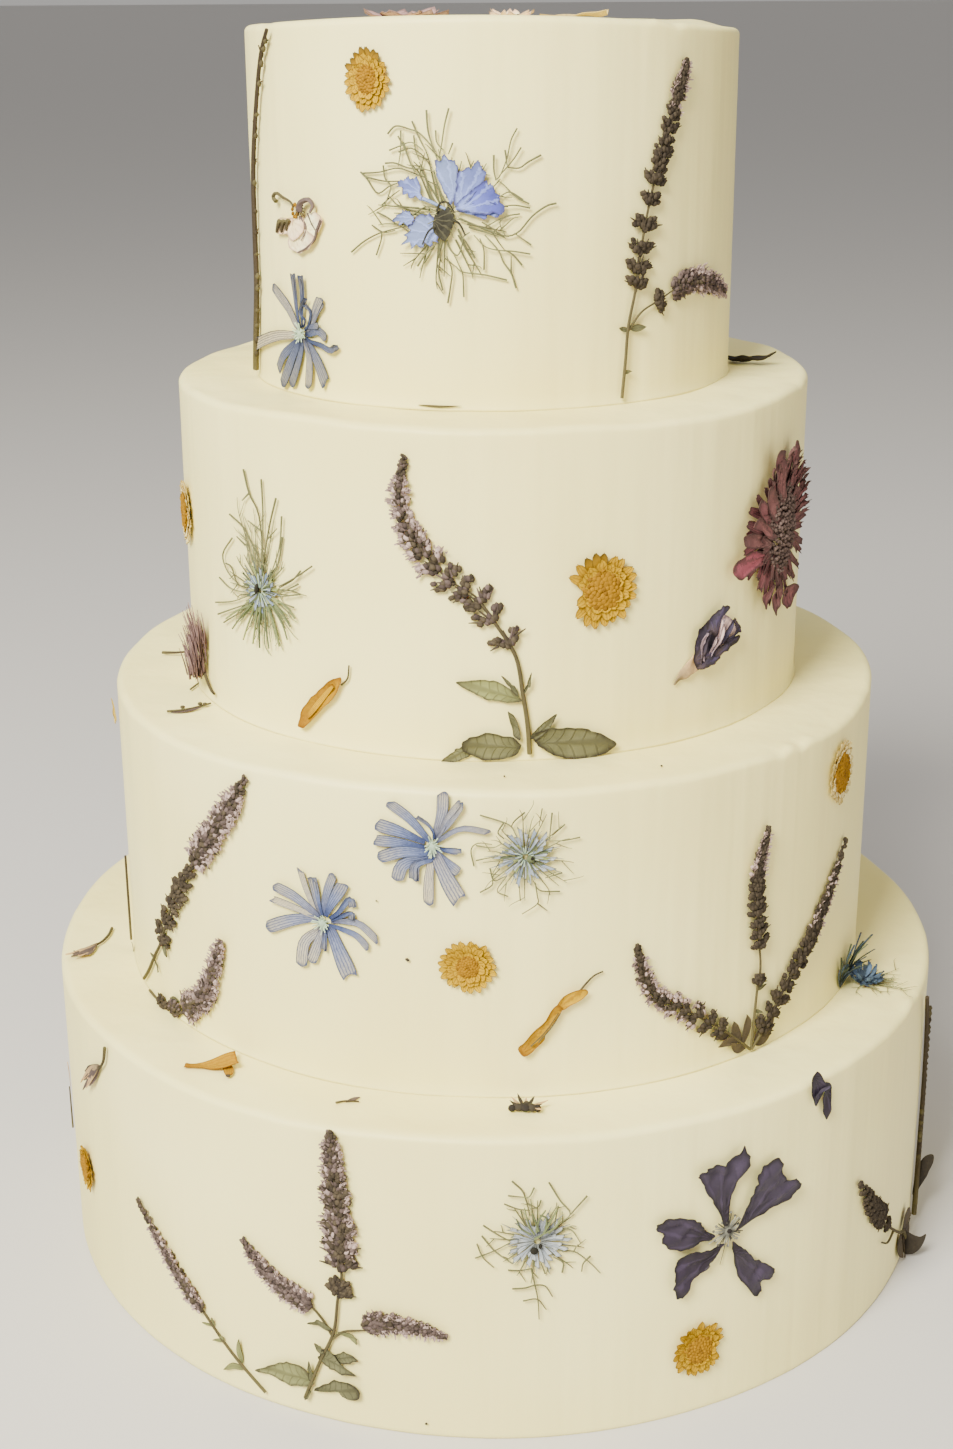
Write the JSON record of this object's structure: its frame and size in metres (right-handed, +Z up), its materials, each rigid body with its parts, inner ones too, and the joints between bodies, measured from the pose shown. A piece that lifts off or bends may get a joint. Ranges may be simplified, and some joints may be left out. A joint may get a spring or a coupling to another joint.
{
  "type": "tiered wedding cake",
  "caption": "Round tiered wedding cake in smooth ivory icing, decorated with pressed dried flowers: daisies, chicory, love-in-a-mist, herb spikes and a dark mallow.",
  "frame": {"origin": "centre of the underside of the bottom tier, where the cake rests", "axes": "+Z up through the middle of the tiers, the decorated front of the cake faces -Y, +X to the right seen from the front"},
  "size_m": [0.3089, 0.3071, 0.4111],
  "materials": {
    "icing": "satin",
    "yellow_petals": "matte",
    "blue_petals": "matte",
    "pale_petals": "matte",
    "dried_green": "matte",
    "dark_petals": "matte",
    "red_petals": "matte"
  },
  "bodies": {
    "root": {"tier_1": "icing", "tier_2": "icing", "tier_3": "icing", "tier_4": "icing", "daisy_4a": "yellow_petals", "daisy_3a": "yellow_petals", "daisy_3b": "yellow_petals", "daisy_2a": "yellow_petals", "daisy_2b": "yellow_petals", "daisy_1a": "yellow_petals", "daisy_1b": "yellow_petals", "daisy_4b": "yellow_petals", "daisy_3c": "yellow_petals", "daisy_1c": "yellow_petals", "top_yellow_petal": "yellow_petals", "petal_3a": "yellow_petals", "petal_2a": "yellow_petals", "petal_1a": "yellow_petals", "chicory_4a": "blue_petals", "chicory_2a": "blue_petals", "chicory_2b": "blue_petals", "chicory_3a": "blue_petals", "chicory_1a": "blue_petals", "nigella_4a": "blue_petals", "nigella_2a": "blue_petals", "nigella_1a": "blue_petals", "nigella_4b": "blue_petals", "nigella_1b": "pale_petals", "nigella_2b": "pale_petals", "blossom_4a": "pale_petals", "top_pink_blossom": "pale_petals", "top_white_blossom": "pale_petals", "nigella_3a": "dried_green", "spike_4a": "dried_green", "spike_3a": "dried_green", "spike_2a": "dried_green", "spike_2b": "dried_green", "spike_2c": "dried_green", "spike_1a": "dried_green", "spike_1b": "dried_green", "spike_1c": "dried_green", "spike_4b": "dried_green", "spike_3b": "dried_green", "spike_2d": "dried_green", "spike_1d": "dried_green", "sprig_2a": "dried_green", "bud_1a": "dried_green", "bud_1b": "dried_green", "stem_4a": "dried_green", "stem_2a": "dried_green", "stem_1a": "dried_green", "mallow_1a": "dark_petals", "mallow_2a": "dark_petals", "petal_1b": "dark_petals", "leaf_3a": "dark_petals", "calyx_1a": "dark_petals", "bud_3a": "dark_petals", "thistle_2a": "dark_petals", "zinnia_3a": "red_petals", "zinnia_1a": "red_petals"}
  },
  "joints": []
}
